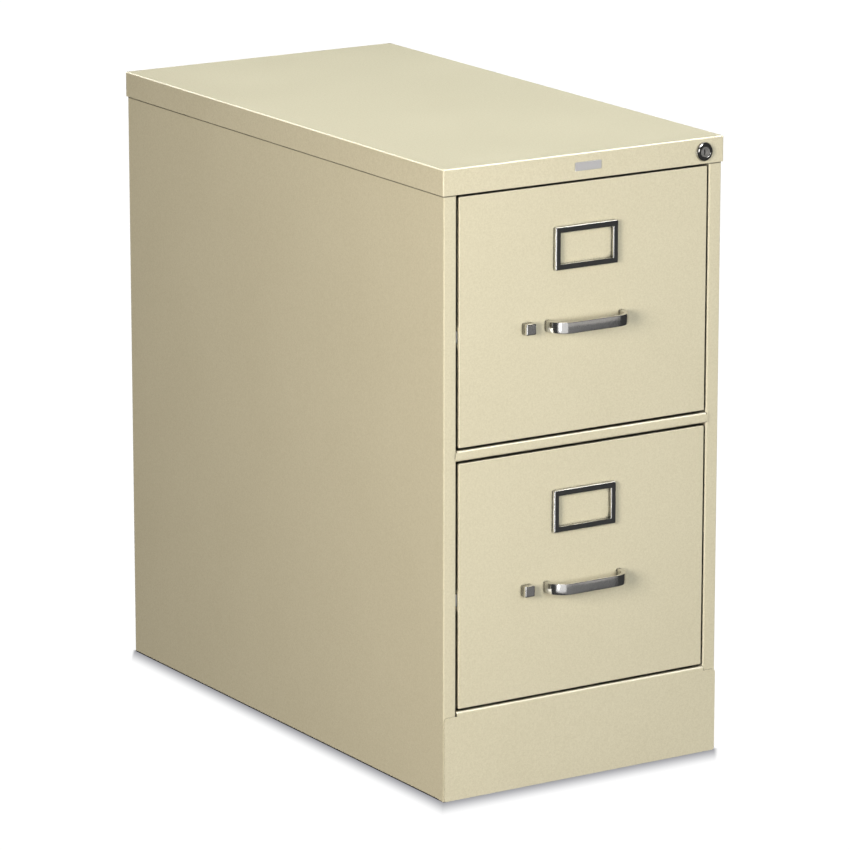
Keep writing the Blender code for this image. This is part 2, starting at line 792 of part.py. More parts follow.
def make_follower(name, origin):
    """Plate that holds the files up, its foot on the tray's floor, with two ears for the clamp."""
    low = DRAWER_SHEET + GAP
    half, high = FOLLOWER_HALF, low + FOLLOWER_HEIGHT
    outline = [(-half, 0, low), (half, 0, low), (half, 0, high), (-half, 0, high)]
    folds = {0: [(0, FOLLOWER_FOOT, 0)], 2: [(0, 0.012, 0), (0, 0, -0.010)]}
    plate = folded_sheet(f"{name}_follower", outline, folds, DRAWER_SHEET, ZINC, origin)
    for side, sign in SIDES.items():
        ear = sorted((sign * (CLAMP_HALF + 0.0016), sign * (CLAMP_HALF + 0.0028)))
        join_box(
            plate,
            f"{name}_{side}_ear",
            (ear[0], CLAMP_Y - 0.005, low + 0.0002),
            (ear[1], CLAMP_Y + 0.005, CLAMP_Z + 0.004),
        )
    cut_box(
        plate,
        f"{name}_tooth_hole",
        (-SLOT_HALF - 0.001, CLAMP_Y + 0.012, low - 0.003),
        (SLOT_HALF + 0.001, CLAMP_Y + 0.034, low + 0.003),
    )
    bore = bore_along_x(f"{name}_pivot_bore", 0.0016, CLAMP_HALF + 0.006, origin, (CLAMP_Y, CLAMP_Z))
    apply_boolean(plate, bore, "DIFFERENCE")
    return plate


def bore_along_x(name, radius, half, origin, place=(0, 0)):
    bm = bmesh.new()
    bmesh.ops.create_cone(bm, cap_ends=True, segments=16, radius1=radius, radius2=radius, depth=2 * half)
    turn = Matrix.Translation((0, *place)) @ Matrix.Rotation(math.radians(90), 4, "Y")
    bmesh.ops.transform(bm, matrix=turn, verts=bm.verts)
    return add_object(name, mesh_from(name, bm), None, origin, CUTTERS)


def make_clamp(name, origin):
    """Sprung lever on the follower: pushing its top forwards lifts the tooth out of the floor's slot."""
    half = CLAMP_HALF
    side_view = [(0.0050, 0.0600), (0.0010, 0.0500), (0.0010, 0.0000), (0.0210, -0.0040)]
    profile = [(-half, y, z) for y, z in side_view]
    step = (2 * half, 0, 0)
    lever = bent_strip(f"{name}_follower_clamp", profile, step, SLIDE_STEEL, ZINC, origin, bend=0.0012)
    pivot = bore_along_x(f"{name}_clamp_pin", 0.0014, half + 0.0028, origin)
    apply_boolean(lever, pivot, "UNION")
    join_box(
        lever,
        f"{name}_clamp_tooth",
        (-0.0030, 0.0185, -0.0120),
        (0.0030, 0.0205, -0.0036),
    )
    return lever


def make_drawer(name, middle):
    at = Vector((0, FACE_Y, middle))
    origins = {
        key: add_origin(f"{name}_{key}_origin", at)
        for key in ("fixed", "drawer", "middle_rails", "outer_cages", "inner_cages")
    }
    drawer = origins["drawer"]
    make_drawer_front(name, drawer)
    make_drawer_liner(name, drawer)
    make_tray(name, drawer)
    make_drawer_back(name, drawer)
    make_handle(name, drawer)
    make_label_holder(name, drawer)
    make_slides(name, origins)
    latch = add_origin(f"{name}_latch_origin", at + Vector((BUTTON_X, 0, -HARDWARE_DROP)))
    make_latch_button(name, latch)
    make_latch_bar(name, latch)
    follower = add_origin(f"{name}_follower_origin", at + Vector((0, FOLLOWER_Y, TRAY_FLOOR)))
    make_follower(name, follower)
    make_clamp(name, add_origin(f"{name}_clamp_axis", follower.location + Vector((0, CLAMP_Y, CLAMP_Z))))


def smooth_round_pieces():
    for obj in CABINET.objects:
        if obj.type == "MESH":
            obj.data.shade_smooth()
            obj.data.set_sharp_from_angle(angle=math.radians(30))


make_case()
make_lock()
for drawer_name, drawer_middle in DRAWERS.items():
    make_drawer(drawer_name, drawer_middle)
smooth_round_pieces()
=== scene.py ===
import json
import math

import bmesh
import bpy
from mathutils import Matrix, Vector

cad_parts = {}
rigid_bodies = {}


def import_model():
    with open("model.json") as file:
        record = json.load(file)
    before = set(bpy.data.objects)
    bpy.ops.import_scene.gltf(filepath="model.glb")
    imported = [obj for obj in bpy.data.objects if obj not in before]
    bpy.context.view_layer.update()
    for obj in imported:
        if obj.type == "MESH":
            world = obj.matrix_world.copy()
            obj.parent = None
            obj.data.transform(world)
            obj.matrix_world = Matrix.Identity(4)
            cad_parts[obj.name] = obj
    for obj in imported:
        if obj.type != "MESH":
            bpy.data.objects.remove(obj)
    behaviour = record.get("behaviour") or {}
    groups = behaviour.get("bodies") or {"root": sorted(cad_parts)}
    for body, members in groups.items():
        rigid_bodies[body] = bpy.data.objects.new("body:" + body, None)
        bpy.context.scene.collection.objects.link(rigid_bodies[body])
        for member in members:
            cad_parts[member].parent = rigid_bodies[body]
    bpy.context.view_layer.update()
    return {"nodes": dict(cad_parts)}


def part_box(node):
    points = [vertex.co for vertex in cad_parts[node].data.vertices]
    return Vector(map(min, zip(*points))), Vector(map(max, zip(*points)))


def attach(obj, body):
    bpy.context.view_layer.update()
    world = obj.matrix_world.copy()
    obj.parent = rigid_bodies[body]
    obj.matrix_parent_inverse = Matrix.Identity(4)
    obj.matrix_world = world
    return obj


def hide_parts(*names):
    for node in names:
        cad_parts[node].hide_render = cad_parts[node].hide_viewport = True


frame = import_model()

nodes = frame["nodes"]
capLow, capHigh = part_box("top_cap")
drawers = ("upper", "lower")
sides = {"left": -1, "right": 1}
print("frame loaded:", len(nodes), "solids")


# shader sums: a socket that takes + - * / with numbers or other sockets
class Wire:
    def __init__(self, tree, socket):
        self.tree = tree
        self.socket = socket

    def join(self, operation, first, second):
        return addNode(self.tree, "Math", {"operation": operation}, {0: first, 1: second})

    def __add__(self, other):
        return self.join("ADD", self, other)

    def __radd__(self, other):
        return self.join("ADD", other, self)

    def __sub__(self, other):
        return self.join("SUBTRACT", self, other)

    def __rsub__(self, other):
        return self.join("SUBTRACT", other, self)

    def __mul__(self, other):
        return self.join("MULTIPLY", self, other)

    def __rmul__(self, other):
        return self.join("MULTIPLY", other, self)

    def __truediv__(self, other):
        return self.join("DIVIDE", self, other)

    def __rtruediv__(self, other):
        return self.join("DIVIDE", other, self)

    def __pow__(self, other):
        return self.join("POWER", self, other)

    def __rpow__(self, other):
        return self.join("POWER", other, self)


def feed(tree, socket, value):
    if isinstance(value, Wire):
        tree.links.new(value.socket, socket)
    elif hasattr(socket.default_value, "__len__") and len(value) < len(socket.default_value):
        socket.default_value = (*value, 1)
    else:
        socket.default_value = value


# settings by name first, then sockets by name or number; out is the socket to go on from
def addNode(tree, kind, settings=None, sockets=None, out=0):
    made = tree.nodes.new("ShaderNode" + kind)
    for key, value in (settings or {}).items():
        setattr(made, key, value)
    for key, value in (sockets or {}).items():
        feed(tree, made.inputs[key], value)
    return Wire(tree, made.outputs[out])


# one finish: a Principled shader with constants set on it, and nodes added as needed
class Finish:
    def __init__(self, name, **fixed):
        self.material = bpy.data.materials.new(name)
        self.material.use_nodes = True
        self.tree = self.material.node_tree
        self.shader = self.tree.nodes["Principled BSDF"]
        for socketName, value in fixed.items():
            self.drive(socketName, value)

    def drive(self, socketName, value):
        feed(self.tree, self.shader.inputs[socketName.replace("_", " ")], value)

    def node(self, kind, settings=None, sockets=None, out=0):
        return addNode(self.tree, kind, settings, sockets, out)

    def place(self):
        return self.node("TexCoord", out="Object")

    def noise(self, scale, detail, stretch=None):
        where = self.place()
        if stretch:
            where = self.node("Mapping", None, {"Vector": where, "Scale": stretch})
        return self.node("TexNoise", None, {"Vector": where, "Scale": scale, "Detail": detail})

    def blend(self, factor, first, second):
        return self.node("Mix", {"data_type": "RGBA"}, {0: factor, 6: first, 7: second}, out=2)

    def bump(self, height, strength, distance):
        sockets = {"Height": height, "Strength": strength, "Distance": distance}
        self.drive("Normal", self.node("Bump", None, sockets))

    def dress(self, look, tone, wear, relief):  # what the colour, the roughness and the bump follow
        self.drive("Base Color", self.blend(tone, look["dull"], look["colour"]))
        self.drive("Roughness", look["roughness"] + look["spread"] * wear)
        self.bump(relief, look["bump"], look["depth"])
        return self.material


def atLeast(value, limit):
    return value.join("MAXIMUM", value, limit)


def smoothStep(finish, value, low, high):
    settings = {"interpolation_type": "SMOOTHSTEP"}
    return finish.node("MapRange", settings, {"Value": value, "From Min": low, "From Max": high})


puttyPaint = {
    "colour": (0.712, 0.654, 0.474),
    "shade": (0.612, 0.552, 0.382),
    "specular": 0.45,
    "roughness": 0.33,  # where smoothest; the spread comes on top, here and in the finishes below
    "spread": 0.10,
    "grain": 900,
    "peel": 380,
    "cloud": 9,
    "bump": 0.5,
    "depth": 0.0005,
    "paintedShade": (0.010, 0.009, 0.006),  # painted shade: the colour laid into gaps, crevices and contacts, and into the line under the cap
    "paintedShadeReach": 0.0080,
    "paintedShadeFrom": 0.28,
    "paintedShadeTo": 0.55,
    "capShadowLine": 0.0009,  # half height of the painted shadow line under the cap
    "capShadowLineShare": 0.75,
}


def makePaint():
    paint = Finish("puttyPaint", Specular_IOR_Level=puttyPaint["specular"])
    paintedShade, capShadowHalf, share = puttyPaint["paintedShade"], puttyPaint["capShadowLine"], puttyPaint["capShadowLineShare"]
    grain = paint.noise(puttyPaint["grain"], 2)
    peel = paint.noise(puttyPaint["peel"], 1)
    cloud = paint.noise(puttyPaint["cloud"], 2)
    speckle = smoothStep(paint, grain * 0.65 + peel * 0.35, 0.34, 0.66)
    coat = paint.blend(speckle * 0.72 + cloud * 0.28, puttyPaint["shade"], puttyPaint["colour"])
    # painted shadow: a dark line in the base colour just under the cap's lower edge
    height = paint.node("SeparateXYZ", None, {"Vector": paint.place()}, "Z")
    offCapShadow = height - (capLow.z - capShadowHalf)
    offCapShadow = offCapShadow.join("ABSOLUTE", offCapShadow, 0) / capShadowHalf
    coat = paint.blend(smoothStep(paint, offCapShadow, 0.3, 1.5) * share + (1 - share), paintedShade, coat)
    # painted shade: ambient occlusion darkens the base colour in gaps, crevices and where parts touch
    reach = {"Distance": puttyPaint["paintedShadeReach"]}
    openness = paint.node("AmbientOcclusion", {"samples": 6}, reach, "AO")
    unshaded = smoothStep(paint, openness, puttyPaint["paintedShadeFrom"], puttyPaint["paintedShadeTo"])
    paint.drive("Base Color", paint.blend(unshaded, paintedShade, coat))
    paint.drive("Roughness", puttyPaint["roughness"] + puttyPaint["spread"] * cloud)
    paint.bump(grain * 0.6 + peel * 0.4, puttyPaint["bump"], puttyPaint["depth"])
    return paint.material


chromePlate = {
    "colour": (0.70, 0.69, 0.67),
    "dull": (0.56, 0.55, 0.53),
    "roughness": 0.11,
    "spread": 0.08,
    "smear": 60,
    "wave": 160,
    "bump": 0.12,
    "depth": 0.0005,
}


def makeChrome():
    chrome = Finish("chromePlate", Metallic=1)
    smear = chrome.noise(chromePlate["smear"], 4)
    wave = chrome.noise(chromePlate["wave"], 2)
    return chrome.dress(chromePlate, smear, smear, wave)


darkPlate = {
    "colour": (0.74, 0.74, 0.73),
    "dull": (0.56, 0.56, 0.55),
    "roughness": 0.12,
    "spread": 0.10,
    "smear": 120,
    "bump": 0.05,
    "depth": 0.0002,
}


def makeDarkChrome():
    dark = Finish("darkChrome", Metallic=1)
    smear = dark.noise(darkPlate["smear"], 4)
    return dark.dress(darkPlate, smear, smear, smear)


zincSheet = {
    "colour": (0.56, 0.57, 0.58),
    "dull": (0.40, 0.41, 0.42),
    "metallic": 0.55,
    "roughness": 0.26,
    "spread": 0.16,
    "spangle": 130,
    "rolled": 60,
    "stretch": (14, 0.6, 14),
    "bump": 0.15,
    "depth": 0.0002,
}


def makeZinc():
    zinc = Finish("zincSheet", Metallic=zincSheet["metallic"])
    spangle = {"Vector": zinc.place(), "Scale": zincSheet["spangle"]}
    crystals = zinc.node("TexVoronoi", None, spangle, "Color")
    patch = zinc.node("SeparateColor", None, {"Color": crystals})
    rolled = zinc.noise(zincSheet["rolled"], 3, stretch=zincSheet["stretch"])
    return zinc.dress(zincSheet, patch * 0.5 + rolled * 0.5, rolled, rolled)


brushedPlate = {
    "colour": (0.61, 0.595, 0.59),
    "dull": (0.54, 0.525, 0.52),
    "metallic": 0.25,
    "roughness": 0.36,
    "spread": 0.12,
    "lines": 240,
    "stretch": (1, 8, 30),
    "bump": 0.12,
    "depth": 0.0001,
}


def makeBrushed():
    plate = Finish("brushedPlate", Metallic=brushedPlate["metallic"])
    lines = plate.noise(brushedPlate["lines"], 3, stretch=brushedPlate["stretch"])
    return plate.dress(brushedPlate, lines, lines, lines)


nickelLock = {
    "colour": (0.56, 0.55, 0.53),
    "dull": (0.36, 0.35, 0.33),
    "metallic": {"housing": 1, "plug": 0.65},
    "roughness": 0.07,
    "spread": 0.12,
    "wear": 600,
    "bump": 0.08,
    "depth": 0.0001,
}


def makeNickel(part):
    nickel = Finish("nickel" + part.title(), Metallic=nickelLock["metallic"][part])
    wear = nickel.noise(nickelLock["wear"], 3)
    return nickel.dress(nickelLock, wear, wear, wear)


paint = makePaint()
chrome = makeChrome()
darkChrome = makeDarkChrome()
zinc = makeZinc()
brushed = makeBrushed()
nickel = makeNickel("housing")
plugNickel = makeNickel("plug")
print("finishes made")


# mesh tools
def boxMesh(low, high):
    mesh = bmesh.new()
    bmesh.ops.create_cube(mesh, size=1)
    size = Vector(abs(b - a) for a, b in zip(low, high))
    middle = (Vector(low) + Vector(high)) / 2
    place = Matrix.Translation(middle) @ Matrix.Diagonal((*size, 1))
    bmesh.ops.transform(mesh, matrix=place, verts=mesh.verts)
    return mesh


def openBox(low, high, openSide):
    mesh = boxMesh(low, high)
    lid = max(mesh.faces, key=lambda face: face.calc_center_median().dot(Vector(openSide)))
    bmesh.ops.delete(mesh, geom=[lid], context="FACES_ONLY")
    return mesh


# the outline runs anticlockwise seen from outside; folds holds steps by edge number
def foldedMesh(outline, folds):
    mesh = bmesh.new()
    corners = [mesh.verts.new(point) for point in outline]
    mesh.faces.new(corners)
    for number, steps in folds.items():
        first, second = corners[number], corners[(number + 1) % len(corners)]
        for step in steps:
            ahead = [mesh.verts.new(corner.co + Vector(step)) for corner in (first, second)]
            mesh.faces.new((second, first, *ahead))
            first, second = ahead
    return mesh


# the outside faces the way of the profile's run crossed with the step
def stripMesh(profile, step):
    mesh = bmesh.new()
    near = [mesh.verts.new(point) for point in profile]
    far = [mesh.verts.new(Vector(point) + Vector(step)) for point in profile]
    for i in range(len(profile) - 1):
        mesh.faces.new((near[i], near[i + 1], far[i + 1], far[i]))
    return mesh


# rings of equal count, each a closed loop
def loftMesh(rings, ringClosed=False, capped=False, mesh=None):
    mesh = mesh or bmesh.new()
    made = [[mesh.verts.new(point) for point in ring] for ring in rings]
    pairs = list(zip(made, made[1:]))
    if ringClosed:
        pairs.append((made[-1], made[0]))
    for near, far in pairs:
        count = len(near)
        for i in range(count):
            k = (i + 1) % count
            mesh.faces.new((near[i], near[k], far[k], far[i]))
    if capped:
        mesh.faces.new(reversed(made[0]))
        mesh.faces.new(made[-1])
    bmesh.ops.recalc_face_normals(mesh, faces=mesh.faces)
    return mesh


def circle(radius, y, centre, steps):
    turns = [math.tau * i / steps for i in range(steps)]
    return [(centre[0] + radius * math.cos(a), y, centre[1] + radius * math.sin(a)) for a in turns]


def roundedRing(halfWide, halfTall, radius, y, centre, steps=4):
    ring = []
    for number, (signX, signZ) in enumerate(((1, 1), (-1, 1), (-1, -1), (1, -1))):
        hubX = centre[0] + signX * (halfWide - radius)
        hubZ = centre[1] + signZ * (halfTall - radius)
        for i in range(steps + 1):
            angle = math.radians(90 * number + 90 * i / steps)
            ring.append((hubX + radius * math.cos(angle), y, hubZ + radius * math.sin(angle)))
    return ring


def arc(hub, radius, start, end, steps):
    turns = [math.radians(start + (end - start) * i / steps) for i in range(steps + 1)]
    return [(hub[0] + radius * math.cos(a), hub[1] + radius * math.sin(a)) for a in turns]


def newPiece(name, mesh, finish):
    data = bpy.data.meshes.new(name)
    mesh.normal_update()
    mesh.to_mesh(data)
    mesh.free()
    data.shade_smooth()
    data.materials.append(finish)
    piece = bpy.data.objects.new(name, data)
    bpy.context.scene.collection.objects.link(piece)
    return piece


# folds at this distance from the middle get the full bend, the others a share of it
def weighFolds(piece, distance, share):
    data = piece.data
    weights = data.attributes.new("bevel_weight_edge", "FLOAT", "EDGE")
    for edge, weight in zip(data.edges, weights.data):
        there = all(abs(abs(data.vertices[i].co.x) - distance) < 0.0002 for i in edge.vertices)
        weight.value = 1 if there else share


sheetEdges = {
    "foldSteps": 5,
    "foldAngle": 40,  # sharper edges than this are rounded as folds
    "rim": 0.0002,
    "rimSteps": 2,
    "rimAngle": 55,
    "flatShare": 60,  # how far the shading leans to the larger faces
}


def bevel(piece, width, segments, limit=sheetEdges["foldAngle"]):
    modifier = piece.modifiers.new("rounding", "BEVEL")
    modifier.width = width
    modifier.segments = segments
    modifier.limit_method = "ANGLE"
    modifier.angle_limit = math.radians(limit)
    modifier.miter_outer = "MITER_ARC"


def thicken(piece, thickness):
    modifier = piece.modifiers.new("sheet", "SOLIDIFY")
    modifier.thickness = thickness
    modifier.offset = -1
    modifier.use_even_offset = True


# turns what the modifiers make into the piece's own mesh
def settle(piece):
    view = bpy.context.evaluated_depsgraph_get()
    made = bpy.data.meshes.new_from_object(piece.evaluated_get(view))
    piece.modifiers.clear()
    old = piece.data
    piece.data = made
    bpy.data.meshes.remove(old)


def cut(piece, cutters):
    tools = []
    for mesh in cutters:
        data = bpy.data.meshes.new("cutter")
        bmesh.ops.recalc_face_normals(mesh, faces=mesh.faces)
        mesh.to_mesh(data)
        mesh.free()
        tools.append(bpy.data.objects.new("cutter", data))
        bpy.context.scene.collection.objects.link(tools[-1])
        modifier = piece.modifiers.new("cut", "BOOLEAN")
        modifier.object = tools[-1]
        modifier.solver = "EXACT"
    bpy.context.view_layer.update()
    settle(piece)
    for tool in tools:
        bpy.data.objects.remove(tool)


def evenShade(piece):
    modifier = piece.modifiers.new("shading", "WEIGHTED_NORMAL")
    modifier.keep_sharp = True
    modifier.weight = sheetEdges["flatShare"]


def sheetPiece(name, mesh, finish, sheet, bend, cutters=(), rim=sheetEdges["rim"], fullBend=None):
    piece = newPiece(name, mesh, finish)
    bevel(piece, bend, sheetEdges["foldSteps"])
    if fullBend:
        weighFolds(piece, *fullBend)
        piece.modifiers[0].limit_method = "WEIGHT"
    thicken(piece, sheet)
    if cutters:
        cut(piece, cutters)
    bevel(piece, rim, sheetEdges["rimSteps"], sheetEdges["rimAngle"])
    evenShade(piece)
    return piece


def solidPiece(name, mesh, finish, edge):
    piece = newPiece(name, mesh, finish)
    bevel(piece, edge, sheetEdges["rimSteps"])
    evenShade(piece)
    return piece


def settleOn(piece, body, slot, *replaced):
    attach(piece, body)
    if replaced:
        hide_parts(*replaced)


# low round heads standing on a surface
def domes(name, places, axis, radius, height, finish, steps=16):
    mesh = bmesh.new()
    turn = Vector((0, 0, 1)).rotation_difference(Vector(axis)).to_matrix().to_4x4()
    angles = [math.tau * i / steps for i in range(steps)]
    profile = [(radius * wide, height * tall) for wide, tall in ((1, 0), (1, 0.25), (0.85, 0.7), (0.5, 1))]
    for place in places:
        move = Matrix.Translation(place) @ turn
        rings = [[move @ Vector((r * math.cos(a), r * math.sin(a), h)) for a in angles] for r, h in profile]
        loftMesh(rings, capped=True, mesh=mesh)
    return newPiece(name, mesh, finish)


# the case
seamGap = 0.0003  # the solids keep this far apart where the real parts touch
past = 0.01  # how far a cutter reaches past a sheet
postLow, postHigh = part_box("left_side_panel")
barrelLow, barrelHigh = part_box("lock_barrel")
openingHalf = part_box("top_rail")[1].x + seamGap
postY, rearY, bodyHalf = postLow.y, postHigh.y, -postLow.x
lockAt = ((barrelLow.x + barrelHigh.x) / 2, (barrelLow.z + barrelHigh.z) / 2)

caseSheet = {
    "sheet": 0.0009,
    "bend": 0.0024,
    "cornerShare": 0.7,  # of that bend, at the corners away from the drawers
    "capBend": 0.0019,
    "backBend": 0.0015,
    "postReturn": 0.0160,
    "rear": 0.014,
    "foot": 0.018,
    "footFrom": 0.024,
    "footTo": 0.004,
    "lockHole": 0.0079,
}
boltSlot = {"from": 0.012, "to": 0.020, "ahead": 0.0020, "behind": 0.0030, "half": 0.011}


def makeTopCap():
    ends = [circle(caseSheet["lockHole"], capLow.y + step, lockAt, 32) for step in (-past, past)]
    cap = sheetPiece("topCap", openBox(capLow, capHigh, (0, 0, -1)), paint,
                     caseSheet["sheet"], caseSheet["capBend"], [loftMesh(ends, capped=True)])
    settleOn(cap, "case", "putty_paint", "top_cap")


def boltSlotMesh(drawer, x):
    low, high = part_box(f"{drawer}_latch_bar")
    z, half = (low.z + high.z) / 2, boltSlot["half"]
    return boxMesh((x + boltSlot["from"], low.y - boltSlot["ahead"], z - half),
                   (x + boltSlot["to"], high.y + boltSlot["behind"], z + half))


def makeSidePanel(side):
    sign = sides[side]
    x, top = sign * bodyHalf, postHigh.z
    footFront, footRear = postY + caseSheet["footFrom"], rearY - caseSheet["footTo"]
    outline = [(x, postY, 0), (x, footFront, 0), (x, footRear, 0), (x, rearY, 0),
               (x, rearY, top), (x, postY, top)]
    foot, rear = [(-sign * caseSheet["foot"], 0, 0)], [(-sign * caseSheet["rear"], 0, 0)]
    post = [(-sign * (bodyHalf - openingHalf), 0, 0), (0, caseSheet["postReturn"], 0)]
    folds = {1: foot, 3: rear, 5: post}
    if sign < 0:
        outline.reverse()
        folds = {1: rear, 3: foot, 5: post}
    tools = [boltSlotMesh(drawer, x) for drawer in drawers] if side == "left" else []
    panel = sheetPiece(f"{side}SidePanel", foldedMesh(outline, folds), paint,
                       caseSheet["sheet"], caseSheet["bend"], tools,
                       fullBend=(openingHalf, caseSheet["cornerShare"]))
    settleOn(panel, "case", "putty_paint", f"{side}_side_panel")


def makeBackPanel():
    low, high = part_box("back_panel")
    half, y = high.x, high.y
    outline = [(half, y, low.z), (-half, y, low.z), (-half, y, high.z), (half, y, high.z)]
    flange = [(0, low.y - high.y, 0)]
    panel = sheetPiece("backPanel", foldedMesh(outline, {1: flange, 3: flange}), paint,
                       caseSheet["sheet"], caseSheet["backBend"])
    settleOn(panel, "case", "putty_paint", "back_panel")


middleRail = {"bend": 0.0028, "proud": 0.0005, "rim": 0.0004}


def makeMiddleRail():
    low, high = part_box("middle_rail")
    inner, outer, y = openingHalf - seamGap, high.x, low.y - middleRail["proud"]
    outline = [(-outer, y, low.z), (-inner, y, low.z), (inner, y, low.z), (outer, y, low.z),
               (outer, y, high.z), (inner, y, high.z), (-inner, y, high.z), (-outer, y, high.z)]
    flange = [(0, high.y - low.y, 0)]
    rail = sheetPiece("middleRail", foldedMesh(outline, {1: flange, 5: flange}), paint,
                      caseSheet["sheet"], middleRail["bend"], rim=middleRail["rim"])
    settleOn(rail, "case", "putty_paint", "middle_rail")


basePanel = {
    "bend": 0.0030,
    "bendSteps": 6,
    "lowBend": 0.0010,
    "lowLip": 0.020,
    "proud": 0.0005,
    "shoulder": 0.0053,
    "topCorner": 0.0040,
    "bottomCorner": 0.0030,
    "cornerSteps": 4,
    "rim": 0.0003,
}


def makeBasePanel():
    low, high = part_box("base_front_panel")
    wide, inner, y, top = high.x, openingHalf - seamGap, low.y - basePanel["proud"], high.z
    shoulder = top - basePanel["shoulder"]
    bottomCorner, topCorner, count = basePanel["bottomCorner"], basePanel["topCorner"], basePanel["cornerSteps"]
    right = arc((wide - bottomCorner, bottomCorner), bottomCorner, -90, 0, count)
    right += arc((wide - topCorner, shoulder - topCorner), topCorner, 0, 90, count)
    bend = basePanel["bend"]
    rounding = arc((bend, top - bend), bend, 180, 90, basePanel["bendSteps"])
    lip = [(0, y1 - y0, z1 - z0) for (y0, z0), (y1, z1) in zip(rounding, rounding[1:])]
    lip.append((0, high.y - low.y - bend, 0))
    loop = [(inner, 0)] + right + [(inner, shoulder), (inner, top - bend)]
    loop += [(-x, z) for x, z in reversed(loop)]
    outline = [(x, y, z) for x, z in loop]
    topEdge, bottomEdge = len(loop) // 2 - 1, len(loop) - 1
    folds = {topEdge: lip, bottomEdge: [(0, basePanel["lowLip"], 0)]}
    panel = sheetPiece("baseFrontPanel", foldedMesh(outline, folds), paint,
                       caseSheet["sheet"], basePanel["lowBend"], rim=basePanel["rim"])
    settleOn(panel, "case", "putty_paint", "base_front_panel")


namePlate = {"corner": 0.0010, "edge": 0.0003}


def makeNamePlate():
    low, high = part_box("name_plate")
    centre = ((low.x + high.x) / 2, (low.z + high.z) / 2)
    halfWide, halfTall = (high.x - low.x) / 2, (high.z - low.z) / 2
    rings = [roundedRing(halfWide, halfTall, namePlate["corner"], y, centre) for y in (low.y, high.y)]
    plate = solidPiece("namePlate", loftMesh(rings, capped=True), brushed, namePlate["edge"])
    settleOn(plate, "case", "zinc_steel", "name_plate")


makeTopCap()
for side in sides:
    makeSidePanel(side)
makeBackPanel()
makeMiddleRail()
makeBasePanel()
makeNamePlate()
print("case dressed")


# the lock
lockFace = {
    "bezel": 0.01125,
    "mouth": 0.0064,
    "barrel": 0.0076,
    "crown": 0.0010,  # how far outside its mouth the bezel is highest
    "skirt": 0.12,  # share of the bezel's height that stands straight
}
lockPlug = {
    "radius": 0.00615,
    "edge": 0.00015,
    "steps": [  # radius and depth behind the front, from the rim in to the recess
        (0.00615, 0.0010), (0.00585, 0.0005), (0.00525, 0.0002), (0.00465, 0.0003),
        (0.0042, 0.0008), (0.0037, 0.0026), (0.0018, 0.0024),
    ],
    "keyway": [  # left, right, bottom and top of each cut
        (-0.0009, 0.0009, -0.0034, 0.0030), (-0.0018, 0.0009, 0.0004, 0.0016),
    ],
    "keyDeep": 0.012,
}


def makeHousing():
    front, seat, rear = barrelLow.y, capLow.y - seamGap, barrelHigh.y
    proud, skirt = seat - front, lockFace["skirt"]
    bezel, mouth, barrel = lockFace["bezel"], lockFace["mouth"], lockFace["barrel"]
    crown = mouth + lockFace["crown"]
    profile = [(barrel, rear), (barrel, seat), (bezel, seat), (bezel, seat - proud * skirt)]
    for turn in range(12, 91, 13):
        along, rise = math.cos(math.radians(turn)), math.sin(math.radians(turn))
        profile.append((crown + (bezel - crown) * along, seat - proud * (skirt + (1 - skirt) * rise)))
    profile += [(mouth + 0.0004, front + 0.0002), (mouth, front + 0.0008), (mouth, rear)]
    rings = [circle(radius, y, lockAt, 64) for radius, y in profile]
    housing = newPiece("lockBarrel", loftMesh(rings, ringClosed=True), nickel)
    evenShade(housing)
    settleOn(housing, "case", "chrome", "lock_barrel")


def makePlug():
    low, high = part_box("lock_plug")
    front, (x, z) = low.y, lockAt
    steps = [(lockPlug["radius"], high.y)] + [(radius, front + depth) for radius, depth in lockPlug["steps"]]
    mesh = loftMesh([circle(radius, y, lockAt, 48) for radius, y in steps], capped=True)
    tools = [boxMesh((x + left, front - past, z + bottom), (x + right, front + lockPlug["keyDeep"], z + top))
             for left, right, bottom, top in lockPlug["keyway"]]
    plug = newPiece("lockPlug", mesh, plugNickel)
    cut(plug, tools)
    bevel(plug, lockPlug["edge"], 2, 35)
    evenShade(plug)
    settleOn(plug, "lock_plug", "nickel", "lock_plug")


makeHousing()
makePlug()
print("lock made")


# the drawers
drawerSheet = {
    "front": 0.0009,
    "frontBend": 0.0011,
    "trim": 0.0008,  # taken off round the front, for the gap about it
    "linerBend": 0.0014,
    "linerNotch": 0.010,
    "tray": 0.0008,
    "trayBend": 0.0016,
    "backBend": 0.0015,
    "backCorner": 0.012,
    "backFlange": 0.012,
    "backTop": 0.010,
}
stemSlot = {"from": 0.0004, "to": 0.0130, "half": 0.0034, "deep": 0.005}
barSlot = {"gap": 0.0006, "deep": 0.003}
followerSlot = {"from": 0.060, "to": 0.075, "half": 0.004, "deep": 0.005}


def makeDrawerFront(drawer):
    low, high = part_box(f"{drawer}_drawer_front")
    trim = Vector((drawerSheet["trim"], 0, drawerSheet["trim"]))
    low, high = low + trim, high - trim
    barLow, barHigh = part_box(f"{drawer}_latch_bar")
    x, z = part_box(f"{drawer}_latch_button")[0].x, (barLow.z + barHigh.z) / 2
    half, deep = stemSlot["half"], stemSlot["deep"]
    stem = boxMesh((x + stemSlot["from"], low.y - deep, z - half),
                   (x + stemSlot["to"], low.y + deep, z + half))
    gap, deep = barSlot["gap"], barSlot["deep"]
    bar = boxMesh((low.x - deep, barLow.y - gap, barLow.z - gap),
                  (low.x + deep, barHigh.y + gap, barHigh.z + gap))
    front = sheetPiece(f"{drawer}DrawerFront", openBox(low, high, (0, 1, 0)), paint,
                       drawerSheet["front"], drawerSheet["frontBend"], [stem, bar])
    settleOn(front, f"{drawer}_drawer", "putty_paint", f"{drawer}_drawer_front")


